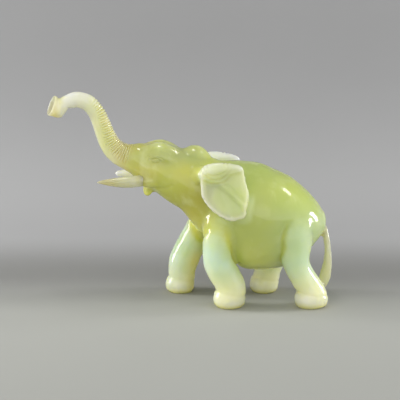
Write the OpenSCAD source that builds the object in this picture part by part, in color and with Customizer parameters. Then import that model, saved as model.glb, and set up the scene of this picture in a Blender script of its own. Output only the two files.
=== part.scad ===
// Jade elephant, walking, with its trunk raised: one carved stone and two tusks set in sockets.
// The head points along -X, the elephant's left is -Y, and the soles stand on z = 0.

/* [Figure] */
// Length of the carving, from the trunk's tip to the tail
figure_l = 113; // [90:1:140]
// Half the greatest width of the belly
belly_r = 18.6; // [17:0.2:20]
// Distance between the middles of the left and right legs
stance_w = 23; // [20:0.5:25]

/* [Trunk and ears] */
// Number of grooves cut round the trunk
groove_count = 24; // [16:1:30]
// Depth of a trunk groove
groove_depth = 0.35; // [0.1:0.05:0.6]
// Thickness of an ear
ear_t = 1.8; // [1.2:0.1:2.6]

/* [Tusks] */
// Diameter of a tusk where it leaves the mouth
tusk_d = 4.2; // [3.8:0.1:4.6]
// Length of the left tusk outside its socket
left_tusk_l = 19.5; // [10:0.5:24]
// Length of the right tusk outside its socket
right_tusk_l = 13.5; // [6:0.5:24]
// Diameter of the peg at a tusk's root
peg_d = 2.2; // [1.8:0.1:2.6]
// Length of the peg
peg_l = 4; // [3:0.5:5]
// Thickness of the cement round the peg
cement_t = 0.15; // [0.1:0.05:0.3]

/* [Hidden] */

// Length of the carving as its stations below draw it, and where the middle of that length is
drawn_l = 113.1;
drawn_mid_x = 0.37;
k = figure_l / drawn_l;
leg_y = stance_w / 2;
sole_edge = 1.4;

stone = [0.72, 0.76, 0.42];
ivory_stone = [0.85, 0.84, 0.66];
cement_grey = [0.82, 0.79, 0.70];

// A station is [x, y, z, half-width across, half-depth]: the middle and the two radii of one
// oval cross-section. Each list runs from one end of a limb to the other.

// Rump to chest
torso = [
    [53.2, 0, 30.8, 5.6, 4.6], [51, 0, 31, 9.8, 8.2], [46.5, 0, 31.2, 14, 13.4], [40.5, 0, 32.4, 16.8, 17.4],
    [31.5, 0, 33.3, belly_r, 20.6], [22.5, 0, 34.4, belly_r, 21.7], [14, 0, 37, 17.4, 18.8],
    [8.5, 0, 39.5, 14.8, 15.6], [5.5, 0, 41, 11.5, 12]];

// Withers to the root of the trunk, through the neck and the forehead
head = [
    [13, 0, 40.4, 14, 15.6], [4, 0, 46.8, 12.8, 12.6], [-3, 0, 50.3, 11.6, 11.4],
    [-9.5, 0, 53.4, 10.6, 10.4], [-15.5, 0, 55.6, 9.2, 8.9], [-21, 0, 57.4, 6.8, 6.6],
    [-26, 0, 58.8, 5.2, 5.2]];

// Crown dome, and the hump between the ears
crown = [[-6.5, 0, 58.5, 6.5, 4.6], [-11.5, 0, 59.6, 7, 5], [-17, 0, 58.6, 6, 4.6]];
nape = [[7, 0, 56, 6, 4.6], [2.6, 0, 58.4, 7, 4.9], [-2, 0, 57.4, 6.5, 4.6]];

// Throat and lower jaw, out to the pointed lip
jaw = [
    [6, 0, 39, 12, 7.5], [0, 0, 42.5, 9.5, 6.5], [-6, 0, 45.5, 7.6, 5.3],
    [-11.5, 0, 46.8, 5.6, 3.5], [-15.4, 0, 45.6, 3.4, 1.9], [-17.6, 0, 43.6, 1.5, 0.9]];

// Trunk, from the forehead to the opening at its tip
trunk = [
    [-19, 0, 57.6, 6.4, 6.6], [-24, 0, 58.2, 5.2, 5.3], [-28.4, 0, 60.1, 4.4, 4.7],
    [-31.6, 0, 63.6, 3.9, 4.2], [-33.6, 0, 67.8, 3.6, 3.8], [-35.1, 0, 72, 3.4, 3.6],
    [-37, 0, 76.2, 3.2, 3.4], [-40.2, 0, 79.8, 3.1, 3.3], [-44.6, 0, 81.2, 3, 3.1],
    [-48.2, 0, 80, 3.1, 3.3], [-51, 0, 78, 3.3, 4], [-55, 0, 79, 3.4, 3.9]];

// Legs, from the hip or shoulder to below the sole
left_foreleg = [
    [13.5, -9, 35, 6.6, 8.6], [11.6, -11, 27, 6.5, 6.4], [11.1, -leg_y, 21.5, 6.2, 6.1],
    [11.8, -leg_y, 17.4, 6, 6.3], [13.6, -leg_y, 12.8, 5.9, 6.2], [15.4, -leg_y, 8.8, 5.9, 5.9],
    [15.8, -leg_y, 4.8, 6.4, 6.4], [15.7, -leg_y, sole_edge, 6.2, 6.2], [15.7, -leg_y, -1, 3.6, 3.6]];
right_foreleg = [
    [9.5, 9, 35, 6.6, 8.6], [5.4, 10.6, 27.5, 6.4, 6.6], [1.6, leg_y, 21.5, 6.2, 6.1],
    [-0.9, leg_y, 17, 6, 6], [-2.8, leg_y, 12.4, 5.9, 6.1], [-3.6, leg_y, 8.4, 5.8, 5.8],
    [-4, leg_y, 4.8, 6, 6], [-4.2, leg_y, sole_edge, 6, 6], [-4.2, leg_y, -1, 3.6, 3.6]];
left_hind_leg = [
    [39.5, -9.5, 32, 8, 10.5], [41, -11, 26, 7.2, 7.6], [41.5, -leg_y, 20.5, 6.2, 5.8],
    [42.5, -leg_y, 16.4, 5.6, 5.2], [44.4, -leg_y, 12.6, 5.5, 5.2], [46.6, -leg_y, 8.8, 5.7, 5.6],
    [48, -leg_y, 5, 6.2, 6.4], [47.9, -leg_y, sole_edge, 6.1, 6.2], [47.9, -leg_y, -1, 3.6, 3.6]];
right_hind_leg = [
    [40.5, 9.5, 32, 8, 10.5], [39, 10.8, 25, 7.2, 8], [36.2, leg_y, 18.5, 6.2, 6.2],
    [33.4, leg_y, 13.4, 5.8, 5.7], [31.8, leg_y, 9, 5.8, 5.8], [31, leg_y, 5, 6.2, 6.3],
    [31, leg_y, sole_edge, 6.1, 6.2], [31, leg_y, -1, 3.6, 3.6]];

// Tail, from the rump down to where it touches the left hind foot
tail = [
    [49.5, 0, 34.5, 2, 2], [53, -0.4, 30.6, 1.5, 1.6], [54.8, -1.4, 25, 1.2, 1.3],
    [55.6, -2.6, 19, 1.2, 1.3], [55.4, -4, 13.4, 1.4, 1.5], [54.6, -5.4, 9.4, 1.5, 1.7],
    [52.8, -6.8, 6.2, 1.2, 1.3]];

// Cheek that holds a tusk, as drawn for the left side; its last station is the socket's mouth
tusk_root = [-17.4, -6, 49.6];
tusk_aim = [-0.985, -0.17, 0];
cheek_r = 2.9;
cheek = [
    [-4, -5, 51, 4.4, 4.6], [-11, -5.2, 50, 3.8, 3.9], [-14.4, -5.48, 49.6, 3.2, 3.2],
    [tusk_root.x, tusk_root.y, tusk_root.z, cheek_r, cheek_r]];

// Ear, as drawn for the left side: [x, z] of points round its edge, from the root over the top
ear_edge = [[4.9, 57], [11.5, 58.4], [20, 57.6], [22, 51.8], [23.2, 46.4], [21.6, 39], [16.8, 36.8], [9.6, 39.4],
    [5, 44.6], [4, 50.8]];
ear_middle = [13, 47.6];
// How far the ear stands out sideways: at its top in front, and how much more for each mm back and down
ear_root_y = 14;
ear_flare_back = 0.1;
ear_flare_down = 0.23;
// How deep the ear is dished in its middle
ear_dish = 1.2;
// The right ear hangs lower at the back than the left one
right_ear_droop = 14;

// Fold that joins the ear to the neck, as drawn for the left side
ear_fold = [[2, -6, 50.6, 5, 5.6], [5.2, -10.5, 52.4, 4.2, 4.6], [7.6, -13.6, 53.2, 3, 3.6]];

function unit(v) = v / norm(v);

// Point at t between p1 and p2 on the smooth curve through p0, p1, p2 and p3
function curve_point(p0, p1, p2, p3, t) =
    0.5 * (2 * p1 + (p2 - p0) * t
        + (2 * p0 - 5 * p1 + 4 * p2 - p3) * t * t
        + (3 * p1 - p0 - 3 * p2 + p3) * t * t * t);

// Stations filled in along the curve through a list of stations
function filled(s, steps) = let (last = len(s) - 1) [
    for (i = [0 : last - 1]) for (j = [0 : steps - 1])
        curve_point(s[max(i - 1, 0)], s[i], s[i + 1], s[min(i + 2, last)], j / steps),
    s[last]];

// The same round a closed edge
function filled_round(s, steps) = let (n = len(s)) [
    for (i = [0 : n - 1]) for (j = [0 : steps - 1])
        curve_point(s[(i + n - 1) % n], s[i], s[(i + 1) % n], s[(i + 2) % n], j / steps)];

function middle(station) = [station[0], station[1], station[2]];

// Direction of the limb at station i
function along(s, i) = unit(middle(s[min(i + 1, len(s) - 1)]) - middle(s[max(i - 1, 0)]));

// Stations that close an end with a dome, out from station st towards dir; its height is a share of
// the end's half-depth
function dome(st, dir, share) = let (h = st[4] * share) [for (a = [30, 60, 80]) [
    st[0] + dir.x * h * sin(a), st[1] + dir.y * h * sin(a), st[2] + dir.z * h * sin(a),
    st[3] * cos(a), st[4] * cos(a)]];

// Oval ring of n points round a station, square to the limb
function ring(station, dir, n) =
    let (side = unit([0, 1, 0] - dir * dir.y), deep = cross(dir, side))
    [for (i = [0 : n - 1]) middle(station)
        + side * station[3] * cos(360 * i / n) + deep * station[4] * sin(360 * i / n)];

// Skin over rings of n points each, closed by a fan at both ends
module skin(rings, n) {
    m = len(rings);
    points = [each [for (r = rings) each r], sum_of(rings[0]) / n, sum_of(rings[m - 1]) / n];
    walls = [for (i = [0 : m - 2]) for (j = [0 : n - 1]) let (a = i * n + j, b = i * n + (j + 1) % n)
        each [[a, b + n, b], [a, a + n, b + n]]];
    start_fan = [for (j = [0 : n - 1]) [m * n, j, (j + 1) % n]];
    end_fan = [for (j = [0 : n - 1]) [m * n + 1, (m - 1) * n + (j + 1) % n, (m - 1) * n + j]];
    polyhedron(points, concat(walls, start_fan, end_fan), convexity = 8);
}

function sum_of(v) = v * 0 == v ? v : [for (i = [0 : len(v) - 1]) 1] * v;

// Limb through a list of stations, with n sides; start and end say how far its two domes stand out,
// as shares of the half-depth there, and 0 leaves that end flat
module limb(stations, n, steps, start = 1, end = 1) {
    s = filled(stations, steps);
    last = len(s) - 1;
    start_dome = dome(s[0], -along(s, 0), start);
    end_dome = dome(s[last], along(s, last), end);
    whole = concat(start > 0 ? [for (i = [2 : -1 : 0]) start_dome[i]] : [], s, end > 0 ? end_dome : []);
    skin([for (i = [0 : len(whole) - 1]) ring(whole[i], along(whole, i), n)], n);
}

// Trunk with its grooves: every third ring is cut in, past the smooth root and before the smooth tip
module grooved_trunk() {
    s = filled(trunk, 6);
    first = 14;
    rings = [for (i = [0 : len(s) - 1])
        let (cut = i >= first && i < first + groove_count * 2 && i % 2 == 0 ? groove_depth : 0)
        ring([s[i][0], s[i][1], s[i][2], s[i][3] - cut, s[i][4] - cut], along(s, i), 20)];
    skin(rings, 20);
}

// Sideways place of the ear's mid-surface at [x, z], for the left side: leaning out, and dished
function ear_y(p, reach) = ear_dish * (1 - reach * reach)
    - ear_root_y - ear_flare_back * (p[0] - ear_edge[0][0]) - ear_flare_down * (ear_edge[0][1] - p[1]);

// The point p = [x, z] turned about the ear's root, so that the ear's back edge drops
function drooped(p, angle) = let (q = p - ear_edge[0])
    ear_edge[0] + [q[0] * cos(angle) + q[1] * sin(angle), q[1] * cos(angle) - q[0] * sin(angle)];

// Left ear: a dished plate of even thickness, thinned to a round rim
module ear(droop) {
    edge = filled_round(ear_edge, 3);
    n = len(edge);
    reaches = [0.25, 0.55, 0.8, 0.95, 1];
    function layer(reach, face) = [for (e = edge)
        let (p = drooped(ear_middle + (e - ear_middle) * reach, droop), t = reach < 1 ? ear_t / 2 : 0)
        [p[0], ear_y(p, reach) + face * t, p[1]]];
    skin(concat(
        [for (r = reaches) layer(r, -1)],
        [for (i = [len(reaches) - 2 : -1 : 0]) layer(reaches[i], 1)]), n);
}

// Everything that is cut from the one block
module block() {
    limb(torso, 32, 3, start = 0.3, end = 0.3);
    limb(head, 28, 3, start = 0.3);
    limb(crown, 16, 3);
    limb(nape, 16, 3);
    limb(jaw, 16, 3, start = 0.3);
    grooved_trunk();
    for (leg = [left_foreleg, right_foreleg, left_hind_leg, right_hind_leg]) limb(leg, 20, 2, end = 0);
    limb(tail, 10, 4);
    for (side = [0, 1]) mirror([0, side, 0]) {
        ear(side * right_ear_droop);
        limb(ear_fold, 12, 2, end = 0.2);
        limb(cheek, 16, 2, end = 0);
    }
}

// Turns +Z to the direction in which the left tusk points, at the left socket's mouth
module at_left_root() {
    translate((tusk_root - [drawn_mid_x, 0, 0]) * k)
        rotate([0, acos(tusk_aim.z), atan2(tusk_aim.y, tusk_aim.x)])
            children();
}

// The socket, a bore for the peg and its cement
module socket() {
    at_left_root() translate([0, 0, -peg_l - cement_t])
        cylinder(d = peg_d + 2 * cement_t, h = peg_l + cement_t + 1, $fn = 48);
}

module elephant_carving() {
    color(stone) difference() {
        resize([figure_l, 0, 0], auto = true) translate([-drawn_mid_x, 0, 0]) difference() {
            block();
            translate([-drawn_l, -drawn_l, -drawn_l]) cube([2 * drawn_l, 2 * drawn_l, drawn_l]);
        }
        socket();
        mirror([0, 1, 0]) socket();
    }
}

// Tusk with its peg, in the left tusk's place: a tapering horn that sags a little, and ends at tip_r
module tusk(l, tip_r) {
    r = tusk_d / 2;
    sag = 0.035 * l;
    horn = [[0, 0, 0, r, r], [-0.12 * sag, 0, 0.3 * l, 0.95 * r, 0.95 * r],
        [-0.2 * sag, 0, 0.6 * l, (0.75 * r + 0.25 * tip_r), (0.75 * r + 0.25 * tip_r)],
        [sag, 0, l - tip_r, tip_r, tip_r]];
    at_left_root() {
        rotate([0, 0, 180]) limb(horn, 20, 5, start = 0);
        translate([0, 0, -peg_l]) cylinder(d = peg_d, h = peg_l, $fn = 48);
    }
}

module left_tusk() {
    color(ivory_stone) tusk(left_tusk_l, 0.5);
}

module right_tusk() {
    color(ivory_stone) mirror([0, 1, 0]) tusk(right_tusk_l, 1.3);
}

// Cement round the peg and under its end
module cement() {
    at_left_root() difference() {
        translate([0, 0, -peg_l - cement_t]) cylinder(d = peg_d + 2 * cement_t, h = peg_l + cement_t, $fn = 48);
        translate([0, 0, -peg_l]) cylinder(d = peg_d, h = peg_l + 1, $fn = 48);
    }
}

module left_tusk_cement() {
    color(cement_grey) cement();
}

module right_tusk_cement() {
    color(cement_grey) mirror([0, 1, 0]) cement();
}

elephant_carving();
left_tusk();
right_tusk();
left_tusk_cement();
right_tusk_cement();
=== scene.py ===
"""A small jade elephant, walking with its trunk raised: the carved stone, its two tusks and the stage.

Shapes are drawn in millimetres in the frame's own axes: the head points along -X, the elephant's left is
-Y and the soles stand on z = 0. MM turns a drawn millimetre into metres, worked out from the frame.
"""

import bmesh
import bpy
import numpy as np
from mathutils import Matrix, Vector


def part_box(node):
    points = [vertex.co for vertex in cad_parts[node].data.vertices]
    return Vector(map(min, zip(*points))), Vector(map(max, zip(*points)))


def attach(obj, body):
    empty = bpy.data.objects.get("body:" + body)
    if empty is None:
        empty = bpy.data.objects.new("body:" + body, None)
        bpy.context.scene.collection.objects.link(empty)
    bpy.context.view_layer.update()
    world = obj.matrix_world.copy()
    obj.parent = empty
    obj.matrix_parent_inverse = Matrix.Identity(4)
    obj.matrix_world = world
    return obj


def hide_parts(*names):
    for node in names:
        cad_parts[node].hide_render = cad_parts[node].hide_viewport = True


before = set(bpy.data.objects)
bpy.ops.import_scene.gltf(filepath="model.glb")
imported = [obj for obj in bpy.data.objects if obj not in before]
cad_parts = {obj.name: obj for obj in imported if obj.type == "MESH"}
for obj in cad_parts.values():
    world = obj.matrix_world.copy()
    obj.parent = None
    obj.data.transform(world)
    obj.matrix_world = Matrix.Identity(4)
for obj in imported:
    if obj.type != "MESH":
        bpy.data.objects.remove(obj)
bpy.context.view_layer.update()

# ---------------------------------------------------------------- measures

DRAWN_LENGTH = 113.0
carving_low, carving_high = (np.array(corner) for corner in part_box("elephant_carving"))
MM = (carving_high[0] - carving_low[0]) / DRAWN_LENGTH


def mirrored(stations):
    """The same stations for the elephant's right side."""
    return [[row[0], -row[1], *row[2:]] for row in stations]


# A station is [x, y, z, half-width across, half-depth]: the middle and the radii of an oval cross-section.
TORSO = [
    [52.8, 0, 32, 5.8, 4.4], [50.6, 0, 32.2, 10, 7.6], [46.1, 0, 32.3, 14.2, 12.6],
    [40.1, 0, 32.4, 17, 17.4], [33.1, 0, 33.1, 18.4, 20.1], [27.1, 0, 34.1, 18.6, 21.6],
    [20.6, 0, 34.9, 18.2, 21.6], [14.6, 0, 37.3, 17, 19.3], [9.4, 0, 40.2, 14.8, 16.2],
    [5.2, 0, 42.6, 11.8, 12.6], [2, 0, 44, 7.5, 8]]
NECK_AND_HEAD = [
    [12.6, 0, 40.4, 14, 15.6], [3.6, 0, 46.6, 12.8, 12.6], [-3.4, 0, 50, 11.6, 11.2],
    [-9.9, 0, 53.2, 10.2, 10], [-15.9, 0, 55.4, 8.7, 8.7], [-21.4, 0, 57.4, 6.6, 6.6],
    [-26.4, 0, 58.8, 5, 5.2], [-29, 0, 60.2, 4.4, 4.7]]
FOREHEAD = [[-7.6, -3, 58.4, 4, 4.4], [-12, -3.4, 59.8, 4.6, 4.9], [-15.8, -2.8, 59.5, 4, 4.5]]
NAPE = [[5.2, 0, 55.2, 4.4, 4.2], [2, 0, 58.4, 5.2, 4.5], [-1.6, 0, 57.6, 4.8, 4.2]]
BROW = [
    [-18.6, -4.2, 58.6, 1.3, 1.3], [-15, -6.2, 59.6, 1.8, 1.8], [-10.6, -7.4, 59.2, 1.9, 1.9],
    [-6.6, -7.8, 57.4, 1.4, 1.4]]
JAW = [
    [5.6, 0, 39, 12, 7.5], [-0.4, 0, 42.5, 9.5, 6.5], [-6.4, 0, 45.5, 7.6, 5.3], [-11.6, 0, 47.2, 5.4, 3.7],
    [-15.2, 0, 46.9, 3.9, 2.9], [-17, 0, 45.5, 3, 2.1], [-17.3, 0, 44.1, 2.1, 1.7]]
TRUNK = [
    [-19.4, 0, 57, 7, 7.2], [-24.4, 0, 58.2, 5.2, 5.3], [-28.8, 0, 60.1, 4.4, 4.7],
    [-32, 0, 63.6, 3.9, 4.2], [-34, 0, 67.8, 3.6, 3.8], [-35.5, 0, 72, 3.4, 3.6],
    [-37.4, 0, 76.2, 3.2, 3.4], [-40.6, 0, 79.8, 3.1, 3.3], [-45, 0, 81.2, 3, 3.1],
    [-48.6, 0, 80, 3, 3], [-50.6, 0, 78.9, 3.1, 3.1], [-52.4, 0, 78.4, 3.4, 3.65], [-53.9, 0, 78.5, 3.7, 4],
    [-55, 0, 78.8, 3.8, 4.1]]
LEFT_FORELEG = [
    [15, -6.5, 43, 6, 7.4], [13.4, -9.7, 35.5, 7.2, 8.2], [11.4, -11.8, 27.5, 7, 6.9],
    [10.8, -12, 21.5, 6.4, 6.2], [11.4, -11.8, 17.4, 6.1, 6.3], [13.5, -11.5, 12.8, 5.9, 6.1],
    [15.8, -11.5, 8.8, 5.7, 5.7], [16.2, -11.5, 6.4, 5.8, 5.7], [15.4, -11.5, 3.6, 6.4, 6.5],
    [15.2, -11.5, 1, 6.2, 6], [15.2, -11.5, -1, 3.6, 3.6]]
LEFT_HIND_LEG = [
    [37.5, -5.5, 39, 6.5, 8], [39.1, -9.4, 32, 8, 10], [40.6, -11.2, 26, 7.3, 7.6],
    [41.1, -12, 20.5, 6.4, 5.9], [42.1, -11.8, 16.4, 5.7, 5.2], [44, -11.5, 12.6, 5.5, 5.1],
    [46.4, -11.5, 8.8, 5.4, 5.3], [47.7, -11.5, 6.3, 5.7, 5.8], [47.8, -11.5, 3.7, 6.3, 6.8],
    [47.3, -11.5, 1, 6.1, 6.1], [47.3, -11.5, -1, 3.6, 3.6]]
RIGHT_FORELEG = [
    [13, 6.5, 43, 6, 7.4], [9.6, 9.7, 35.5, 7.2, 8.2], [5, 11.6, 27.5, 6.8, 6.8],
    [1.2, 12, 21.5, 6.4, 6.1], [-1.3, 11.8, 17, 6, 6], [-3.2, 11.5, 12.4, 5.9, 6.1],
    [-4, 11.5, 8.4, 5.5, 5.5], [-3.8, 11.5, 6, 5.5, 5.3], [-4.6, 11.5, 3.2, 6, 6],
    [-4.5, 11.5, 1, 5.9, 5.6], [-4.5, 11.5, -1, 3.6, 3.6]]
RIGHT_HIND_LEG = [
    [38.5, 5.5, 39, 6.5, 8], [40.1, 9.4, 31.5, 8, 10], [38.6, 11, 25, 7.3, 8], [35.8, 11.8, 18.5, 6.3, 6.2],
    [33, 11.6, 13.4, 5.7, 5.6], [31.4, 11.5, 9, 5.4, 5.4], [31, 11.5, 6.1, 5.6, 5.5],
    [30.1, 11.5, 3.3, 6, 6], [30, 11.5, 1, 5.9, 5.6], [30, 11.5, -1, 3.6, 3.6]]
LEGS = (LEFT_FORELEG, RIGHT_FORELEG, LEFT_HIND_LEG, RIGHT_HIND_LEG)
TAIL = [
    [49.1, 0, 34.5, 2.4, 2.4], [52.6, -0.4, 30.6, 1.6, 1.7], [54.4, -1.4, 25, 1.25, 1.35],
    [54.9, -2.6, 19, 1.3, 1.6], [54.4, -4, 13.6, 1.5, 2.1], [53.4, -5.4, 9.8, 1.6, 2.4],
    [51.9, -6.7, 6.6, 1.3, 1.8]]
LEFT_CHEEK = [
    [-4.4, -5, 51, 4.4, 4.6], [-11.4, -5.3, 50, 3.9, 4], [-14.8, -5.6, 49.7, 3.3, 3.3],
    [-17.6, -6, 49.5, 2.7, 2.7]]
LEFT_EAR_FOLD = [[1.6, -6, 50.6, 5, 5.6], [4.8, -10, 52.2, 3.8, 4.4], [7.6, -12.6, 52.6, 2.2, 3.4]]
LEFT_EAR_ROLL = [
    [4.6, -13.6, 53.4, 1.4, 1.3], [6.4, -14.6, 55, 2.2, 2.3], [10, -15, 56, 2.5, 2.5],
    [14.6, -15.5, 56.6, 1.8, 1.8], [19, -16.3, 56.6, 0.9, 0.9]]

# Ears: [x, z] round the left ear's edge from its root, and how it leans out from the neck
EAR_EDGE = [
    [4.5, 57], [11.1, 58.4], [19.6, 57.4], [21.5, 51.8], [22.8, 46.2], [21.9, 41], [21.1, 37.6],
    [15.4, 36.5], [9.2, 39.4], [4.6, 44.6], [3.6, 50.8]]
EAR_MIDDLE = [12.6, 47.6]
EAR_THICKNESS = 1.7
EAR_LEAN = {"root": 14.0, "back": 0.1, "down": 0.23, "dish": 1.3}
RIGHT_EAR_DROOP = 8.0

# Fine work on both sides, as [x, z] on the left one: two lines, the eye's middle, and the curls round the
# ear's root with their first radius and the step between them
EAR_SLANT = [[9.5, 51.8], [13, 49.4], [17, 46], [20.8, 42.6]]
MOUTH = [[-18.6, 47.4], [-15.5, 46.9], [-11.5, 47.3], [-7.6, 48.8]]
EYE = [-13.9, 58.2]
EAR_CURLS = [9.4, 58.4]
FIRST_CURL = 3.4
CURL_PITCH = 1.5

# How far the fine work rises from the block or is cut into it
DEPTH = {
    "ear rim": 0.4, "ear slant": 0.5, "ear shell": 0.75, "ear curl": 0.24, "eye": 0.16, "eye line": 0.16,
    "lid line": 0.14, "mouth": 0.4, "ankle": 0.24, "leg crease": 0.75, "broad wave": 0.09,
    "small wave": 0.045, "trunk furrow": 0.6, "trunk heel": 0.9}

# The trunk: where along its line it is grown from, the step between its rings and between its furrows, and
# how far it takes to become a true oval
TRUNK_CUT = 3.2
RING_STEP = 0.16
FURROW_PITCH = 1.0
SETTLE = 7.0

# The left tusk's root and direction, and for each tusk: node, length, blunt tip's radius, share of the sag,
# and 1 for the left side or -1 for the right
TUSK_ROOT = [-17.77, -6.0, 49.6]
TUSK_WAY = [-0.985, -0.17, 0.0]
TUSKS = (("left_tusk", 19.5, 0, 1, 1), ("right_tusk", 13.2, 1.3, -1.5, -1))

# The size of the small quads that the block is fused into
FUSE_VOXEL = 0.62


# ---------------------------------------------------------------- surfaces

def unit(vectors):
    """Vectors brought to length 1, row by row."""
    return vectors / np.linalg.norm(vectors, axis=-1, keepdims=True)


def smoothstep(low, high, value):
    """0 below low, 1 above high, and an S-shaped rise between them."""
    t = np.clip((value - low) / (high - low), 0, 1)
    return t * t * (3 - 2 * t)


def filled(points, per_span, closed=False):
    """Smooth curve through the points (Catmull-Rom), per_span samples in each span, on every column."""
    p = np.asarray(points, float)
    p = np.vstack([p[-1:], p, p[:2]]) if closed else np.vstack([p[:1], p, p[-1:]])
    t = (np.arange(per_span) / per_span)[None, :, None]
    a, b, c, d = (p[i:len(p) - 3 + i, None] for i in range(4))
    curve = 0.5 * (2 * b + (c - a) * t + (2 * a - 5 * b + 4 * c - d) * t**2
                   + (3 * b - a - 3 * c + d) * t**3)
    curve = curve.reshape(-1, p.shape[1])
    return curve if closed else np.vstack([curve, p[-2:-1]])


def skin(rings):
    """Closed surface over a stack of rings, shape (rings, around, 3): quads between the rings and a fan of
    triangles over each end."""
    m, n = rings.shape[:2]
    points = np.vstack([rings.reshape(-1, 3), rings[0].mean(0), rings[-1].mean(0)])
    row, col = np.meshgrid(np.arange(m - 1), np.arange(n), indexing="ij")
    here, turn = row * n + col, row * n + (col + 1) % n
    quads = np.stack([here, turn, turn + n, here + n], -1).reshape(-1, 4)
    j, k = np.arange(n), (np.arange(n) + 1) % n
    first = np.stack([np.full(n, m * n), k, j], -1)
    last = np.stack([np.full(n, m * n + 1), (m - 1) * n + j, (m - 1) * n + k], -1)
    return points, quads.tolist() + first.tolist() + last.tolist()


def limb(stations, around=40, per_span=8, start=1.0, end=1.0, keel=0.0, upright=False):
    """An oval carried along a smooth curve. Each end is closed by a dome whose height is a share of the
    half-depth, or left flat at 0. keel makes the back narrower than the belly by that share. The oval stands
    square to the curve or, if upright, to the X axis."""
    s = filled(stations, per_span)
    along = unit(np.gradient(s[:, :3], axis=0))
    if upright:
        along = np.tile([-1.0, 0.0, 0.0], (len(s), 1))
    rise = np.radians([15, 30, 45, 60, 72, 82, 88])[:, None]

    def dome(row, out, share):
        """Shrinking ovals beyond an end."""
        height = row[4] * share
        return np.hstack([row[:3] + out * height * np.sin(rise), row[3:5] * np.cos(rise)])

    parts, ways = [s[:, :5]], [along]
    if start > 0:
        parts.insert(0, dome(s[0], -along[0], start)[::-1])
        ways.insert(0, np.repeat(along[:1], len(rise), 0))
    if end > 0:
        parts.append(dome(s[-1], along[-1], end))
        ways.append(np.repeat(along[-1:], len(rise), 0))
    s, along = np.vstack(parts), np.vstack(ways)
    side = unit(np.array([0.0, 1.0, 0.0]) - along * along[:, 1:2])
    deep = np.cross(along, side)
    turn = np.linspace(0, 2 * np.pi, around, endpoint=False)
    across = s[:, 3:4] * np.cos(turn) * (1 + keel * np.sin(turn))
    depth = s[:, 4:5] * np.sin(turn)
    return skin(s[:, None, :3] + side[:, None] * across[..., None] + deep[:, None] * depth[..., None])


def ear_turned(points, droop):
    """Points [x, z] of an ear turned about its root by droop degrees, so that its back edge drops."""
    c, s = np.cos(np.radians(droop)), np.sin(np.radians(droop))
    root = np.array(EAR_EDGE[0])
    q = points - root
    return root + np.stack([q[..., 0] * c + q[..., 1] * s, q[..., 1] * c - q[..., 0] * s], -1)


def ear_stand(x, z, reach):
    """How far sideways the ear's middle surface stands at [x, z]: a leaning plane, dished towards the
    middle."""
    return (EAR_LEAN["root"] + EAR_LEAN["back"] * (x - EAR_EDGE[0][0])
            + EAR_LEAN["down"] * (EAR_EDGE[0][1] - z) - EAR_LEAN["dish"] * (1 - reach**2))


def ear(side, droop):
    """A dished plate: rings shrink from the edge to the middle on the front face and back again on the rear
    one, and the thickness falls to nothing at the edge as a half-round. side is -1 for the left ear."""
    edge = filled(EAR_EDGE, 10, closed=True)
    reach = np.array([0.1, 0.3, 0.5, 0.68, 0.82, 0.91, 0.96, 0.985, 1.0])
    flat = np.array(EAR_MIDDLE) + (edge - EAR_MIDDLE)[None] * reach[:, None, None]
    flat = ear_turned(flat, droop)
    half = 0.5 * EAR_THICKNESS * np.sqrt(np.clip(1 - reach**14, 0, 1))[:, None]
    stand = ear_stand(flat[..., 0], flat[..., 1], reach[:, None])

    def face(sign):
        """Rings on the outer face (1) or the inner one (-1)."""
        return np.stack([flat[..., 0], side * (stand + sign * half), flat[..., 1]], -1)

    return skin(np.vstack([face(1), face(-1)[-2::-1]]))


def gathered(solids):
    """Several closed surfaces as one list of points and one of faces."""
    points, faces, offset = [], [], 0
    for p, f in solids:
        points.append(p)
        faces += [[i + offset for i in face] for face in f]
        offset += len(p)
    return np.vstack(points), faces


# ---------------------------------------------------------------- working a mesh

def new_mesh(name, points, faces):
    """A mesh datablock with these points and faces, shaded smooth."""
    mesh = bpy.data.meshes.new(name)
    mesh.from_pydata(points.tolist(), [], faces)
    mesh.shade_smooth()
    return mesh


def fused(points, faces, voxel):
    """The union of overlapping closed surfaces, as one even mesh of small quads."""
    rough = bpy.data.objects.new("rough", new_mesh("rough", points, faces))
    bpy.context.scene.collection.objects.link(rough)
    remesh = rough.modifiers.new("fuse", "REMESH")
    remesh.mode = "VOXEL"
    remesh.voxel_size = voxel
    evaluated = rough.evaluated_get(bpy.context.evaluated_depsgraph_get())
    mesh = bpy.data.meshes.new_from_object(evaluated)
    bpy.data.objects.remove(rough)
    return mesh


def points_of(mesh):
    """The mesh's points as an array."""
    co = np.empty(len(mesh.vertices) * 3)
    mesh.vertices.foreach_get("co", co)
    return co.reshape(-1, 3)


def edges_of(mesh):
    """The two ends of every edge."""
    ends = np.empty(len(mesh.edges) * 2, np.int64)
    mesh.edges.foreach_get("vertices", ends)
    return ends.reshape(-1, 2)


def shaped(mesh, points):
    """The mesh with its points moved to these places."""
    mesh.vertices.foreach_set("co", points.ravel())
    mesh.update()
    return mesh


def normals_of(mesh):
    """The way every vertex faces."""
    out = np.empty(len(mesh.vertices) * 3)
    mesh.vertex_normals.foreach_get("vector", out)
    return out.reshape(-1, 3)


def neighbour_mean(values, edges):
    """For every vertex, the mean of its neighbours' values."""
    a, b = edges.T
    n = len(values)
    count = np.maximum(np.bincount(edges.ravel(), minlength=n), 1)
    columns = values.reshape(n, -1).T
    total = [np.bincount(a, col[b], n) + np.bincount(b, col[a], n) for col in columns]
    return (np.stack(total, 1) / count[:, None]).reshape(values.shape)


def softened(points, edges, weight, rounds):
    """Points moved towards the mean of their neighbours by weight, again and again."""
    weight = np.broadcast_to(weight, len(points))[:, None]
    for _ in range(rounds):
        points = points + weight * (neighbour_mean(points, edges) - points)
    return points


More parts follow.
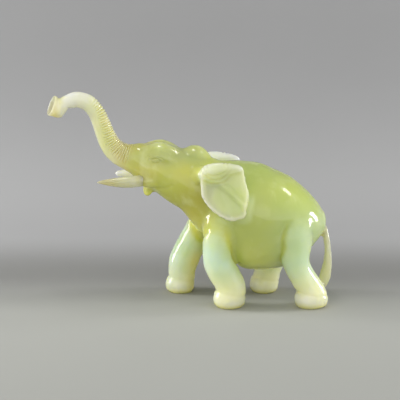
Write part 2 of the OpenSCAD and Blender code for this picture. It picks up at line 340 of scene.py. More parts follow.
def refined(mesh, chosen):
    """The mesh with every edge between chosen vertices cut in two, evened out there."""
    bm = bmesh.new()
    bm.from_mesh(mesh)
    picked = np.flatnonzero(chosen[edges_of(mesh)].all(1))
    bm.edges.ensure_lookup_table()
    bmesh.ops.subdivide_edges(bm, edges=[bm.edges[i] for i in picked], cuts=1, use_grid_fill=True)
    bm.to_mesh(mesh)
    bm.free()
    old = len(chosen)
    points, edges = points_of(mesh), edges_of(mesh)
    fresh = np.append(np.zeros(old), np.ones(len(points) - old))
    fresh = np.maximum(fresh, smoothstep(0.1, 0.6, neighbour_mean(fresh, edges)))
    return shaped(mesh, softened(points, edges, 0.5 * fresh, 3))


class Line:
    """A limb's middle line and its frame: the way along, the way across and the way down into its depth."""

    def __init__(self, stations):
        s = filled(stations, 40)
        self.run = np.append(0, np.cumsum(np.linalg.norm(np.diff(s[:, :3], axis=0), axis=1)))
        along = unit(np.gradient(s[:, :3], axis=0))
        side = unit(np.array([0.0, 1.0, 0.0]) - along * along[:, 1:2])
        self.table = np.hstack([s[:, :5], along, side, np.cross(along, side)])

    def at(self, run):
        """Middle, half-width, half-depth, along, side and deep, at these lengths along the line."""
        rows = np.stack([np.interp(run, self.run, column) for column in self.table.T], -1)
        return rows[..., :3], rows[..., 3], rows[..., 4], rows[..., 5:8], rows[..., 8:11], rows[..., 11:14]

    def swell(self, points):
        """Every point's distance from the line as a share of the limb's radius there: 1 on its skin."""
        rows = self.table[::8]
        square = (points**2).sum(1)[:, None] - 2 * points @ rows[:, :3].T + (rows[:, :3]**2).sum(1)
        return np.sqrt(np.maximum(square / rows[:, 3:5].mean(1)**2, 0).min(1))


# ---------------------------------------------------------------- the block

def ear_rolls():
    """The rolled-over top of each ear, the right one turned down with its ear."""
    right = np.array(mirrored(LEFT_EAR_ROLL))
    right[:, [0, 2]] = ear_turned(right[:, [0, 2]], RIGHT_EAR_DROOP)
    return [LEFT_EAR_ROLL, right]


def rough_solids():
    """Every part of the block as overlapping closed surfaces."""
    solids = [
        limb(TORSO, 72, 8, start=0.3, end=0.3, keel=-0.04, upright=True),
        limb(NECK_AND_HEAD, 56, 8, start=0.3, keel=0.04),
        limb(NAPE), limb(JAW, start=0.3), limb(TAIL, 24, 10)]
    solids += [limb(leg, end=0) for leg in LEGS]
    for left in (FOREHEAD, BROW, LEFT_CHEEK, LEFT_EAR_FOLD):
        solids += [limb(left), limb(mirrored(left))]
    solids += [limb(roll) for roll in ear_rolls()]
    return solids + [ear(-1, 0), ear(1, RIGHT_EAR_DROOP)]


# The ear's edge as [x, z] from its middle, in order round it
EAR_OUTLINE = filled(EAR_EDGE, 24, closed=True) - EAR_MIDDLE
EAR_OUTLINE = EAR_OUTLINE[np.argsort(np.arctan2(EAR_OUTLINE[:, 1], EAR_OUTLINE[:, 0]))]


def ear_place(points):
    """For every point: its [x, z] as on the left ear, how far it lies from the ear's middle as a share of
    the way to its edge, how far outside the ear's middle surface it stands, and how far it belongs to the
    ear."""
    x, y, z = points.T
    plain = points[:, [0, 2]]
    place = np.where((y < 0)[:, None], plain, ear_turned(plain, -RIGHT_EAR_DROOP))
    p = place - EAR_MIDDLE
    outline_turn = np.arctan2(EAR_OUTLINE[:, 1], EAR_OUTLINE[:, 0])
    outline_reach = np.linalg.norm(EAR_OUTLINE, axis=1)
    radius = np.interp(np.arctan2(p[:, 1], p[:, 0]), outline_turn, outline_reach, period=2 * np.pi)
    reach = np.linalg.norm(p, axis=1) / radius
    off = np.abs(y) - ear_stand(x, z, np.minimum(reach, 1))
    share = smoothstep(3.0, 1.8, np.abs(off)) * smoothstep(1.3, 1.12, reach)
    share = share * smoothstep(12.0, 14.0, np.abs(y))
    return place, reach, off, share


def polished_block():
    """Fuses the block and rounds its inner corners, as polishing does, but leaves the ears their edges."""
    mesh = fused(*gathered(rough_solids()), FUSE_VOXEL)
    points, edges = points_of(mesh), edges_of(mesh)
    points = softened(points, edges, 0.5, 3)
    on_ear = ear_place(points)[3]
    hollow = ((neighbour_mean(points, edges) - points) * normals_of(shaped(mesh, points))).sum(1)
    inner = smoothstep(0.01, 0.05, hollow)
    for _ in range(4):
        inner = np.maximum(inner, 0.97 * neighbour_mean(inner, edges))
    flank = smoothstep(4, 12, points[:, 0]) * smoothstep(33, 25, points[:, 2])
    inner = inner * (1 - 0.85 * on_ear) * (1 - 0.6 * flank)
    return shaped(mesh, softened(points, edges, 0.5 * inner, 22))


# ---------------------------------------------------------------- fine work

def near_line(place, line, width):
    """1 on a drawn line of [x, z] points, falling smoothly to 0 at width from it."""
    line = filled(line, 12)
    gap = np.sqrt(((place[:, None] - line[None]) ** 2).sum(-1).min(1))
    return smoothstep(width, 0, gap)


def undulation(points, wavelength, seed):
    """Gentle unevenness: the mean of nine waves that run in different directions."""
    chance = np.random.default_rng(seed)
    ways = unit(chance.normal(size=(9, 3))) * (2 * np.pi / wavelength)
    return np.sin(points @ ways.T + chance.uniform(0, 2 * np.pi, 9)).mean(1) * 1.8


def eye_round(points):
    """How far a point lies from the eye's centre, as a share of its almond outline."""
    x, y, z = points.T
    u, w = x - EYE[0], z - EYE[1] - 0.08 * (x - EYE[0])
    return np.where(np.abs(y) > 4, np.hypot(u / 1.75, w / (0.95 - 0.12 * u)), 9)


def ear_relief(points):
    """Raised rim, hollow shell, the slanting fold and the curls below the root, on the ears' outer faces.
    Returns the relief, and how far each point belongs to the ears, to their rims and to their curls."""
    place, reach, off, share = ear_place(points)
    outer = share * smoothstep(-0.2, 0.4, off)
    rim = smoothstep(0.82, 0.92, reach) * smoothstep(1.06, 0.98, reach)
    slant = near_line(place, EAR_SLANT, 2.2)
    below = smoothstep(-1.5, 1.5, (20.8 - place[:, 0]) * 0.62 - (place[:, 1] - 42.3) * 0.785)
    shell = smoothstep(0.92, 0.72, reach) * (0.25 + 0.5 * below)
    away = np.hypot(place[:, 0] - EAR_CURLS[0], place[:, 1] - EAR_CURLS[1])
    half = CURL_PITCH / 2
    curl = smoothstep(0.62, 0.1, np.abs((away - FIRST_CURL + half) % CURL_PITCH - half))
    curl = curl * smoothstep(2.8, FIRST_CURL, away) * smoothstep(9.6, 8.6, away)
    curl = curl * smoothstep(16.5, 13.5, place[:, 0])
    low = 0.35 + 0.65 * smoothstep(54, 47, place[:, 1]) * smoothstep(21, 14, place[:, 0])
    raised = DEPTH["ear rim"] * rim * low + DEPTH["ear slant"] * slant
    cut = DEPTH["ear shell"] * shell + DEPTH["ear curl"] * curl
    return outer * (raised - cut), share, outer * rim * low, outer * curl


def face_relief(points):
    """Eyes with their lids and the line of the mouth."""
    _, y, z = points.T
    ring = eye_round(points)
    ball = smoothstep(0.9, 0.2, ring)
    outline = smoothstep(0.45, 0, np.abs(ring - 1))
    lid = smoothstep(0.3, 0, np.abs(ring - 1.85)) * smoothstep(EYE[1] - 0.2, EYE[1] + 0.8, z)
    mouth = near_line(points[:, [0, 2]], MOUTH, 0.75) * (np.abs(y) > 1.2)
    cut = DEPTH["eye line"] * outline + DEPTH["lid line"] * lid + DEPTH["mouth"] * mouth
    return DEPTH["eye"] * ball - cut


def foot_relief(points):
    """A crease round every ankle, lower at the heel."""
    x, y, z = points.T
    total = 0
    for leg in LEGS:
        middle = leg[-3]
        near = smoothstep(10, 8, np.hypot(x - middle[0], y - middle[1]))
        height = 5.8 - 0.16 * (x - middle[0])
        total = total - DEPTH["ankle"] * near * smoothstep(0.8, 0, np.abs(z - height))
    return total


def worked(mesh):
    """Cuts the fine work into the block and returns what the stone's colours need to know of it."""
    on_ear = ear_place(points_of(mesh))[3]
    mesh = refined(mesh, on_ear > 0.02)
    for _ in range(2):
        mesh = refined(mesh, eye_round(points_of(mesh)) < 2.6)
    points = points_of(mesh)
    facing = normals_of(mesh)
    relief, ears, rim, curl = ear_relief(points)
    calm = smoothstep(0.5, 4, points[:, 2])
    relief = relief + face_relief(points) + foot_relief(points)
    broad, small = undulation(points, 11, 3), undulation(points, 4.6, 5)
    relief = relief + calm * (DEPTH["broad wave"] * broad + DEPTH["small wave"] * small)
    body = np.minimum(Line(TORSO).swell(points), Line(NECK_AND_HEAD).swell(points))
    off_leg = body - np.min([Line(leg).swell(points) for leg in LEGS], axis=0)
    crease = smoothstep(0.09, 0, np.abs(off_leg))
    crease = crease * smoothstep(38, 29, points[:, 2]) * smoothstep(44, 39, points[:, 0])
    points = points + facing * (relief - DEPTH["leg crease"] * crease)[:, None]
    points[:, 2] = np.maximum(points[:, 2], 0)
    roll = smoothstep(1.5, 1.1, np.min([Line(stations).swell(points) for stations in ear_rolls()], axis=0))
    # Marks for the colours: furrow carries painted shade in the ears' curls, crease painted shade in the leg
    # creases, roll a painted highlight
    marks = {
        "ears": np.maximum(ears, roll), "roll": roll, "rim": rim, "furrow": 0.25 * curl,
        "legs": smoothstep(-0.1, 0.3, off_leg), "crease": crease,
        "tail": smoothstep(2.2, 1.4, Line(TAIL).swell(points)) * smoothstep(50.5, 52.5, points[:, 0])}
    return shaped(mesh, points), marks


# ---------------------------------------------------------------- the trunk

def cut_open(mesh, place, way):
    """The mesh without what lies beyond a plane, and the rim of the hole in order round the way."""
    bm = bmesh.new()
    bm.from_mesh(mesh)
    everything = bm.verts[:] + bm.edges[:] + bm.faces[:]
    bmesh.ops.bisect_plane(bm, geom=everything, dist=0.12, plane_co=place, plane_no=way, clear_outer=True)
    bm.verts.index_update()
    rim = np.array([v.index for v in bm.verts if v.is_boundary])
    bm.to_mesh(mesh)
    bm.free()
    off = points_of(mesh)[rim] - place
    side = np.array([0.0, 1.0, 0.0])
    return rim[np.argsort(np.arctan2(off @ np.cross(way, side), off @ side))]


def trunk_rings(line, start, hole):
    """An oval carried along the trunk. Its first ring is the hole's own rim, whose unevenness fades out in
    SETTLE mm. Ring-shaped furrows are cut across the back, the end flares, turns in and holds two nostrils,
    and the underside swells into a heel behind the opening. Returns the rings and how far each point of
    them is in a furrow or in the opening."""
    run = np.arange(start, line.run[-1] + RING_STEP / 2, RING_STEP)
    middle, wide, deep_r, along, side, deep = line.at(run)
    off = hole - middle[0]
    turn = np.arctan2(off @ deep[0] / deep_r[0], off @ side[0] / wide[0])
    back = -np.sin(turn)
    body = (side[:, None] * (wide[:, None] * np.cos(turn))[..., None]
            + deep[:, None] * (deep_r[:, None] * np.sin(turn))[..., None])
    uneven = hole - (middle[0] + body[0])
    beat = np.abs(np.sin(np.pi * (run - start) / FURROW_PITCH))
    from_tip = line.run[-1] - run
    reach = smoothstep(start + 1.2, start + 4, run) * smoothstep(14, 19.5, from_tip)
    fade_from = np.interp(run, [start, start + 25], [-0.75, -0.1])[:, None]
    mask = reach[:, None] * smoothstep(fade_from, fade_from + 0.6, back[None])
    cut = (1 - beat[:, None]) ** 1.2 * mask
    lip = (0.5 * np.sin(turn) + 1.1 * np.cos(turn)) * smoothstep(4, 0, from_tip)[:, None]
    heel = smoothstep(2, 0, np.abs(from_tip - 3)) - smoothstep(2.4, 0, np.abs(from_tip - 6))
    heel = DEPTH["trunk heel"] * heel[:, None] * smoothstep(0.1, 1, np.sin(turn))
    swell = heel - DEPTH["trunk furrow"] * cut
    rings = (middle[:, None] + body + swell[..., None] * unit(body) + lip[..., None] * along[:, None]
             + uneven * smoothstep(start + SETTLE, start, run)[:, None, None])
    # Rings inside the opening: their size, how far beyond the end they stand, and the nostrils' depth
    shrink = np.array([0.985, 0.94, 0.88, 0.82, 0.78, 0.7, 0.58, 0.42, 0.24, 0.08])
    push = np.array([0.14, 0.24, 0.2, -0.1, -0.7, -1.1, -1.4, -1.5, -1.45, -1.4])
    nostril = np.array([0, 0, 0, 0, 0.2, 0.8, 1.2, 1.0, 0.3, 0])[:, None] * np.abs(np.cos(turn))
    tip = (middle[-1] + shrink[:, None, None] * body[-1]
           + (shrink[:, None] * lip[-1] + push[:, None] - nostril)[..., None] * along[-1])
    rings = np.vstack([rings, tip])
    # Painted shade in each of them, deepening into the opening
    opening = np.array([0, 0, 0, 0.1, 0.3, 0.5, 0.8, 0.9, 1, 1])
    return rings, np.vstack([cut, np.repeat(opening[:, None], len(turn), 1)])


def with_trunk(mesh, marks):
    """Cuts the fused head off at the trunk's root and grows the trunk from the rim of the cut."""
    line = Line(TRUNK)
    place, _, _, way, _, _ = line.at(TRUNK_CUT)
    for name, values in marks.items():
        mesh.attributes.new(name, "FLOAT", "POINT").data.foreach_set("value", values)
    rim = cut_open(mesh, place, way)
    points = points_of(mesh)
    rings, furrow = trunk_rings(line, TRUNK_CUT, points[rim])
    m, n = rings.shape[:2]
    first = len(points)
    index = np.vstack([rim[None], first + np.arange((m - 1) * n).reshape(m - 1, n)])
    quads = np.stack([index[:-1], np.roll(index[:-1], -1, 1), np.roll(index[1:], -1, 1), index[1:]], -1)
    centre = first + (m - 1) * n
    fan = np.stack([index[-1], np.roll(index[-1], -1), np.full(n, centre)], -1)
    faces = [list(face.vertices) for face in mesh.polygons]
    faces += quads.reshape(-1, 4).tolist() + fan.tolist()
    points = np.vstack([points, rings[1:].reshape(-1, 3), rings[-1].mean(0)])
    whole = new_mesh("carved_elephant", points, faces)
    for name in marks:
        held = np.empty(first)
        mesh.attributes[name].data.foreach_get("value", held)
        values = np.append(held, np.zeros(len(points) - first))
        if name == "furrow":
            values[first:-1] = furrow[1:].ravel()
        whole.attributes.new(name, "FLOAT", "POINT").data.foreach_set("value", values)
    bm = bmesh.new()
    bm.from_mesh(whole)
    bmesh.ops.recalc_face_normals(bm, faces=bm.faces)
    bm.to_mesh(whole)
    bm.free()
    return whole


def piece(name, mesh, node, finish):
    """A finished piece in metres, riding on the root body in place of a CAD node."""
    shaped(mesh, points_of(mesh) * MM)
    mesh.materials.append(finish)
    obj = bpy.data.objects.new(name, mesh)
    bpy.context.scene.collection.objects.link(obj)
    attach(obj, "root")
    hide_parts(node)


# ---------------------------------------------------------------- finishes

def colour(red, green, blue):
    """A colour given as 0-255 display values, as the renderer wants it."""
    v = np.array([red, green, blue]) / 255
    return (*np.where(v < 0.04045, v / 12.92, ((v + 0.055) / 1.055) ** 2.4), 1.0)


class Value:
    """One output of a material's node. It can be added, multiplied and so on like a number."""

    def __init__(self, finish, socket):
        self.finish, self.socket = finish, socket

    def sum_with(self, kind, first, second):
        """Adds a Math node for one sum."""
        return self.finish.node("ShaderNodeMath", {"operation": kind}, {0: first, 1: second})

    def __add__(self, other):
        return self.sum_with("ADD", self, other)

    def __sub__(self, other):
        return self.sum_with("SUBTRACT", self, other)

    def __rsub__(self, other):
        return self.sum_with("SUBTRACT", other, self)

    def __mul__(self, other):
        return self.sum_with("MULTIPLY", self, other)

    __radd__, __rmul__ = __add__, __mul__


class Nodes:
    """A node tree, emptied and then built node by node."""

    def __init__(self, tree):
        self.tree = tree
        self.tree.nodes.clear()

    def node(self, kind, settings, inputs, output=0):
        """Adds a node: its settings first, then its inputs, each a Value to link or a constant to set."""
        node = self.tree.nodes.new(kind)
        for name, value in settings.items():
            setattr(node, name, value)
        for name, value in inputs.items():
            if isinstance(value, Value):
                self.tree.links.new(value.socket, node.inputs[name])
            else:
                node.inputs[name].default_value = value
        return Value(self, node.outputs[output])

    def end(self, kind, shader):
        """Joins the shader to the tree's output, a node of this kind."""
        self.tree.links.new(shader.socket, self.tree.nodes.new(kind).inputs["Surface"])


class Finish(Nodes):
    """A material. Places are in drawn millimetres, in the frame's own axes."""

    def __init__(self, name):
        self.material = bpy.data.materials.new(name)
        self.material.use_nodes = True
        super().__init__(self.material.node_tree)
        inside = self.node("ShaderNodeTexCoord", {}, {}, "Object")
        self.place = self.node("ShaderNodeVectorMath", {"operation": "SCALE"}, {0: inside, "Scale": 1 / MM})
        split = self.node("ShaderNodeSeparateXYZ", {}, {0: self.place}).socket.node
        self.x, self.y, self.z = (Value(self, socket) for socket in split.outputs)

    def rise(self, value, low, high):
        """0 where the value is at low, 1 at high, smoothly in between. low may be the larger one."""
        ends = {"Value": value, "From Min": low, "From Max": high}
        return self.node("ShaderNodeMapRange", {"interpolation_type": "SMOOTHSTEP"}, ends)

    def blend(self, share, low, high):
        """One colour turning into another."""
        return self.node("ShaderNodeMix", {"data_type": "RGBA"}, {0: share, 6: low, 7: high}, 2)

    def mark(self, name):
        """A value stored on the mesh's own points."""
        return self.node("ShaderNodeAttribute", {"attribute_name": name}, {}, "Fac")

    def cloud(self, size, detail=2.0, stretch=(1, 1, 1)):
        """Soft random values around 0.5, in lumps about size mm across."""
        place = self.node("ShaderNodeVectorMath", {"operation": "MULTIPLY"}, {0: self.place, 1: stretch})
        return self.node("ShaderNodeTexNoise", {}, {"Vector": place, "Scale": 1 / size, "Detail": detail})

    def grain(self, height, depth):
        """A normal roughened by a height in mm."""
        return self.node("ShaderNodeBump", {}, {"Height": height, "Distance": depth * MM})

    def surface(self, skin, roughness, normal, settings):
        """A surface's colour, roughness and normal, and the settings that are the same all over it."""
        inputs = {"Base Color": skin, "Roughness": roughness, "Normal": normal, **settings}
        return self.node("ShaderNodeBsdfPrincipled", {"subsurface_method": "RANDOM_WALK"}, inputs)

    def mixed(self, share, first, second):
        """Two shaders mixed."""
        return self.node("ShaderNodeMixShader", {}, {0: share, 1: first, 2: second})

    def done(self, shader):
        """The material, with this shader as its look."""
        self.end("ShaderNodeOutputMaterial", shader)
        return self.material


# Stone that scatters the light inside it, and stone that lets it through
STONE = {"Subsurface Weight": 1.0, "Subsurface Radius": (1.0, 0.95, 0.6), "Subsurface Scale": 14 * MM,
         "Subsurface Anisotropy": 0.3, "IOR": 1.56}
CLEAR = {"Transmission Weight": 1.0, "IOR": 1.35}

# The jade's colours zone by zone, as 0-255 display values. Some are painted light and shade: crown, back and
# far shank are darkened as painted shade, crease and furrow are painted shade in creases and grooves, and
# belly, sole, far ear, far ear root, ear roll and far glow are painted light or highlight.
JADE = {
    "flank": (189, 199, 113), "neck": (200, 200, 102), "crown": (172, 180, 126),
    "back": (158, 172, 104), "throat": (184, 178, 78), "belly": (220, 224, 126), "hip": (188, 206, 168),
    "shank": (208, 229, 204), "foot": (253, 247, 210), "far shank": (176, 194, 166),
    "far glow": (240, 222, 136), "crease": (206, 208, 90), "sole": (255, 242, 142),
    "ear": (216, 226, 164), "ear rim": (255, 247, 184), "far ear": (255, 255, 226),
    "far ear root": (214, 234, 196), "ear roll": (238, 246, 214), "muzzle": (194, 186, 102),
    "trunk root": (216, 212, 172), "trunk": (250, 248, 222), "trunk tip": (206, 192, 136),
    "tail": (206, 202, 158), "furrow": (200, 176, 88), "green cloud": (178, 196, 104),
    "pale cloud": (224, 230, 180), "wisp": (232, 238, 200), "clear": (250, 250, 235)}

# The tusks' colours: most of the near one, its tip, the far one, paler as a painted highlight, and the root
# of both
TUSK_COLOURS = ((212, 210, 172), (178, 164, 118), (240, 234, 188), (196, 190, 118))


def jade():
    """Olive in the thick head and body, milky green down the legs, pale in the ears, trunk and tail."""
    f = Finish("jade")
    shade = {name: colour(*levels) for name, levels in JADE.items()}
    legs, ears, rim, tail = (f.mark(name) for name in ("legs", "ears", "rim", "tail"))
    furrow, crease, roll = (f.mark(name) for name in ("furrow", "crease", "roll"))
    broad, small, wisp = f.cloud(22), f.cloud(7, 3), f.cloud(9, 4, (1, 1, 0.45))
    skin = f.blend(f.rise(f.x, 18, -2), shade["flank"], shade["neck"])
    # Painted shade on the top of the head: the crown darker against the light from above, and greyer as the
    # stone is there
    crown = f.rise(f.z, 54, 60) * f.rise(f.x, 10, 4)
    skin = f.blend(0.8 * crown, skin, shade["crown"])
    # Painted shade on the top of the back: darker, against the light from above
    back = f.rise(f.z, 46, 56) * f.rise(f.x, 12, 20)
    skin = f.blend(0.7 * back, skin, shade["back"])
    throat = f.rise(f.z - 0.35 * f.x, 54, 44) * f.rise(f.x, 12, 2) * f.rise(f.z, 29, 39)
    skin = f.blend(0.75 * throat, skin, shade["throat"])
    # Painted light under the belly: lighter, lifting the shade there
    belly = f.rise(f.z, 32, 14) * f.rise(f.x, 8, 16)
    skin = f.blend(0.85 * belly, skin, shade["belly"])
    hip = f.rise(f.x, 24, 46) * f.rise(f.z, 48, 30)
    skin = f.blend(0.7 * hip, skin, shade["hip"])
    low_leg = f.blend(f.rise(f.z, 20, 3), shade["shank"], shade["foot"])
    # Painted shade on the far foreleg's shank: darker, against the left lamp's light
    low_leg = f.blend(0.6 * f.rise(f.y, 3, 7) * f.rise(f.x, 22, 12), low_leg, shade["far shank"])
    skin = f.blend(legs * f.rise(f.z, 45, 32), skin, low_leg)
    # Painted glow of light shining through the far foreleg's lower rear edge
    glow = legs * f.rise(f.y, 3, 7) * f.rise(f.z, 26, 12) * f.rise(f.x, -5, 2) * f.rise(f.x, 20, 10)
    skin = f.blend(0.6 * glow, skin, shade["far glow"])
    # Painted shade in the creases where the legs meet the belly
    skin = f.blend(0.8 * crease, skin, shade["crease"])
    # Painted light along the soles: a bright rim lifting the shade next to the floor
    skin = f.blend(0.75 * f.rise(f.z, 3, 0.6), skin, shade["sole"])
    skin = f.blend(0.9 * ears, skin, shade["ear"])
    skin = f.blend(0.8 * rim, skin, shade["ear rim"])
    # Painted light on the far ear: near white, greener towards its root
    skin = f.blend(0.85 * ears * f.rise(f.y, 8, 13), skin, shade["far ear"])
    skin = f.blend(0.6 * ears * f.rise(f.y, 8, 13) * f.rise(f.x, 17, 9), skin, shade["far ear root"])
    # Painted highlight on the ears' rolled tops: milky white
    skin = f.blend(0.6 * roll, skin, shade["ear roll"])
    skin = f.blend(0.6 * f.rise(f.x, -11, -20), skin, shade["muzzle"])
    skin = f.blend(f.rise(f.x, -21, -33), skin, shade["trunk root"])
    skin = f.blend(f.rise(f.x, -33, -42), skin, shade["trunk"])
    skin = f.blend(f.rise(f.x, -49, -54), skin, shade["trunk tip"])
    skin = f.blend(0.9 * tail, skin, shade["tail"])
    # Painted shade in the trunk's furrows and opening and in the ears' curls
    skin = f.blend(0.6 * furrow, skin, shade["furrow"])
    skin = f.blend(0.28 * f.rise(broad, 0.42, 0.6), skin, shade["green cloud"])
    skin = f.blend(0.14 * f.rise(small, 0.5, 0.72), skin, shade["pale cloud"])
    skin = f.blend(0.22 * f.rise(wisp, 0.56, 0.7), skin, shade["wisp"])
    polish = 0.09 + 0.09 * f.rise(small, 0.35, 0.7)
    normal = f.grain(f.cloud(2.2, 2), 0.05)
    thin = 0.1 * ears + 0.22 * tail + 0.15 * f.rise(f.x, -28, -44)
    clear = f.surface(f.blend(0.5, skin, shade["clear"]), 0.3, normal, CLEAR)
    milky = f.surface(skin, polish, normal, STONE)
    return f.done(f.mixed(thin, milky, clear))


def clear_stone():
    """The tusks: the same stone nearly without colour, warm at the thin edge of the tip."""
    f = Finish("clear_stone")
    wisp = f.cloud(5, 3, (0.4, 1, 1))
    cream, tip, far, root = (colour(*levels) for levels in TUSK_COLOURS)
    skin = f.blend(f.rise(f.x, -24, -37), cream, tip)
    # Painted highlight: the far tusk paler
    skin = f.blend(f.rise(f.y, 2, 5), skin, far)
    skin = f.blend(f.rise(f.x, -23, -18.8), skin, root)
    skin = f.blend(0.5 * f.rise(wisp, 0.45, 0.65), skin, colour(226, 226, 206))
    normal = f.grain(f.cloud(2, 2), 0.04)
    clear = f.surface(f.blend(0.5, skin, colour(250, 250, 240)), 0.25, normal, CLEAR)
    share = f.rise(f.x, -18, -25) * f.rise(f.y, 4, 0) * (0.2 + 0.2 * wisp)
    return f.done(f.mixed(share, f.surface(skin, 0.1, normal, STONE), clear))


def set_cement():
    """The thin joint of clear cement that has yellowed a little."""
    f = Finish("set_cement")
    skin = f.blend(f.rise(f.cloud(0.8, 2), 0.4, 0.6), colour(196, 186, 120), colour(212, 204, 150))
    return f.done(f.surface(skin, 0.4 + 0.1 * f.cloud(0.5), f.grain(f.cloud(0.3), 0.02), STONE))


def paper():
    """Matt grey studio paper, slightly uneven: lighter in front, with a band of painted shade under and just
    behind the elephant, and darker where the paper has risen into a wall."""
    f = Finish("paper")
    mottle = f.cloud(60, 3)
    # Painted shade: a darker band on the floor under and just behind the elephant, lifting again towards the
    # wall
    skin = f.blend(f.rise(f.y, -25, 38), colour(168, 169, 163), colour(127, 127, 124))
    skin = f.blend(f.rise(f.y, 42, 110), skin, colour(160, 160, 160))
    skin = f.blend(f.rise(f.y, 160, 330), skin, colour(135, 135, 135))
    skin = f.blend(0.05 * mottle, skin, colour(200, 200, 200))
    return f.done(f.surface(skin, 0.8 + 0.1 * mottle, f.grain(f.cloud(1.2, 2), 0.03), {}))


# ---------------------------------------------------------------- the elephant

def tusk(length, blunt, sag_share):
    """Stations of a round section carried along a nearly straight line: fullest a third of the way out, the
    underside sagging, the tip pointed or blunt. The root sits in the cheek."""
    t = np.array([-0.06, 0, 0.15, 0.3, 0.45, 0.6, 0.72, 0.82, 0.9, 0.96, 1.0])
    radius = np.array([1.7, 2.05, 2.3, 2.35, 2.2, 1.85, 1.5, 1.15, 0.8, 0.5, 0.3])
    radius = np.maximum(radius, blunt * np.sqrt(np.clip(1 - t**16, 0, 1)))
    sag = sag_share * (0.35 * np.sin(np.pi * np.clip(t, 0, 1)) ** 2 + 0.3 * np.clip(t - 0.6, 0, 1)) - 0.2
    straight = np.array(TUSK_ROOT) + np.array(TUSK_WAY) * (t * (length - radius[-1]))[:, None]
    middle = straight - np.array([0, 0, 1]) * sag[:, None]
    return np.hstack([middle, 0.9 * radius[:, None], radius[:, None]])


elephant = with_trunk(*worked(polished_block()))
piece("carved_elephant", elephant, "elephant_carving", jade())

for name, length, blunt, sag, side in TUSKS:
    stations = tusk(length, blunt, sag) * np.array([1, side, 1, 1, 1])
    piece(name + "_stone", new_mesh(name + "_stone", *limb(stations)), name, clear_stone())

cement_finish = set_cement()
for name in ("left_tusk_cement", "right_tusk_cement"):
    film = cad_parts[name]
    film.data.materials.clear()
    film.data.materials.append(cement_finish)


# ---------------------------------------------------------------- stage, in metres

# The paper: where it starts in front, where it is still flat, where it starts to bend up, the bend's radius,
# its height at the back and half its width
PAPER_FRONT, PAPER_FLAT, PAPER_BACK = -1.6, -0.4, 0.12
PAPER_BEND, PAPER_TOP, PAPER_HALF = 0.3, 1.6, 2.5

# The camera: the point that it looks at, how far off and how far above the level it stands, and its lens
VIEW_CENTRE = np.array([3.6, 0, 40.7]) * MM
VIEW_DISTANCE = 0.6
VIEW_TILT = np.radians(12)
LENS = 135

# Softboxes: name, direction from the elephant, distance, width and height, watts
SOFTBOXES = (
    ("right", (0.95, 0.14, 0.14), 0.5, (0.11, 0.14), 1.0),
    ("upper_right", (0.65, 0.06, 0.75), 0.55, (0.1, 0.07), 0.34),
    ("left", (-0.95, 0.12, 0.2), 0.5, (0.15, 0.28), 1.35),
    ("upper_left", (-0.78, 0.18, 0.52), 0.5, (0.08, 0.06), 0.4),
    ("overhead", (-0.12, -0.06, 1), 0.6, (0.16, 0.05), 0.45))

# The room's light falls off towards ROOM_DARK_WAY: as a direction's dot product with it goes from one end of
# ROOM_SPAN to the other, the strength goes from one end of ROOM_STRENGTH to the other
ROOM_DARK_WAY = (0, 0.5, 0.85)
ROOM_SPAN = (-0.4, 0.95)
ROOM_STRENGTH = (1.5, 0.34)
WHITE = (1, 1, 1, 1)


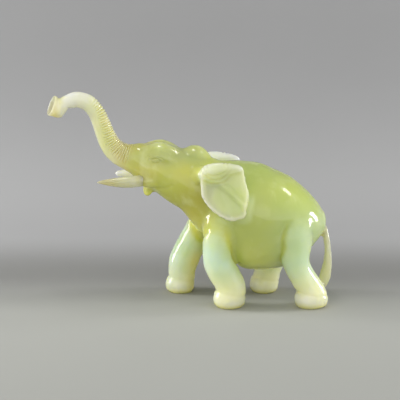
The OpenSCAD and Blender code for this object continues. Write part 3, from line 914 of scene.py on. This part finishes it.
def paper_sweep():
    """A sheet of paper on the table that rises behind in a quarter circle and goes on straight up: the same
    [y, z] profile at nine places along X."""
    bend = np.radians(np.linspace(0, 90, 25))
    rise = np.stack([PAPER_BACK + PAPER_BEND * np.sin(bend), PAPER_BEND - PAPER_BEND * np.cos(bend)], 1)
    foot, top = [[PAPER_FRONT, 0], [PAPER_FLAT, 0]], [[PAPER_BACK + PAPER_BEND, PAPER_TOP]]
    profile = np.vstack([foot, rise, top])
    xs = np.linspace(-PAPER_HALF, PAPER_HALF, 9)
    m, n = len(profile), len(xs)
    grid = np.stack([np.tile(xs, (m, 1)), *(np.repeat(column[:, None], n, 1) for column in profile.T)], -1)
    row, col = np.meshgrid(np.arange(m - 1), np.arange(n - 1), indexing="ij")
    i = row * n + col
    quads = np.stack([i, i + 1, i + 1 + n, i + n], -1).reshape(-1, 4)
    return new_mesh("sweep", grid.reshape(-1, 3), quads.tolist())


def aim(obj, place, target):
    """Puts a camera or lamp at a place and turns it to face the target."""
    obj.location = Vector(place)
    obj.rotation_euler = (Vector(target) - Vector(place)).to_track_quat("-Z", "Y").to_euler()


def softbox(name, way, distance, size, power):
    """A rectangular lamp that faces the elephant from the given direction."""
    lamp = bpy.data.objects.new(name, bpy.data.lights.new(name, "AREA"))
    lamp.data.shape = "RECTANGLE"
    lamp.data.size, lamp.data.size_y = size
    lamp.data.energy = power
    bpy.context.scene.collection.objects.link(lamp)
    aim(lamp, VIEW_CENTRE + distance * np.array(way) / np.linalg.norm(way), VIEW_CENTRE)


def room():
    """White light from all round, bright from low in front and dim from behind and overhead."""
    world = bpy.data.worlds.new("studio")
    world.use_nodes = True
    sky = Nodes(world.node_tree)
    way = sky.node("ShaderNodeTexCoord", {}, {}, "Generated")
    lean = sky.node("ShaderNodeVectorMath", {"operation": "DOT_PRODUCT"}, {0: way, 1: ROOM_DARK_WAY}, "Value")
    ends = {"From Min": ROOM_SPAN[0], "From Max": ROOM_SPAN[1],
            "To Min": ROOM_STRENGTH[0], "To Max": ROOM_STRENGTH[1]}
    strength = sky.node("ShaderNodeMapRange", {}, {"Value": lean, **ends})
    light = sky.node("ShaderNodeBackground", {}, {"Strength": strength, "Color": WHITE})
    sky.end("ShaderNodeOutputWorld", light)
    return world


floor = bpy.data.objects.new("sweep", paper_sweep())
bpy.context.scene.collection.objects.link(floor)
floor.data.materials.append(paper())

camera = bpy.data.objects.new("camera", bpy.data.cameras.new("camera"))
bpy.context.scene.collection.objects.link(camera)
camera.data.lens = LENS
view_way = np.array([0, -np.cos(VIEW_TILT), np.sin(VIEW_TILT)])
aim(camera, VIEW_CENTRE + VIEW_DISTANCE * view_way, VIEW_CENTRE)
bpy.context.scene.camera = camera

for lamp_values in SOFTBOXES:
    softbox(*lamp_values)
bpy.context.scene.world = room()
bpy.context.scene.view_settings.view_transform = "Standard"
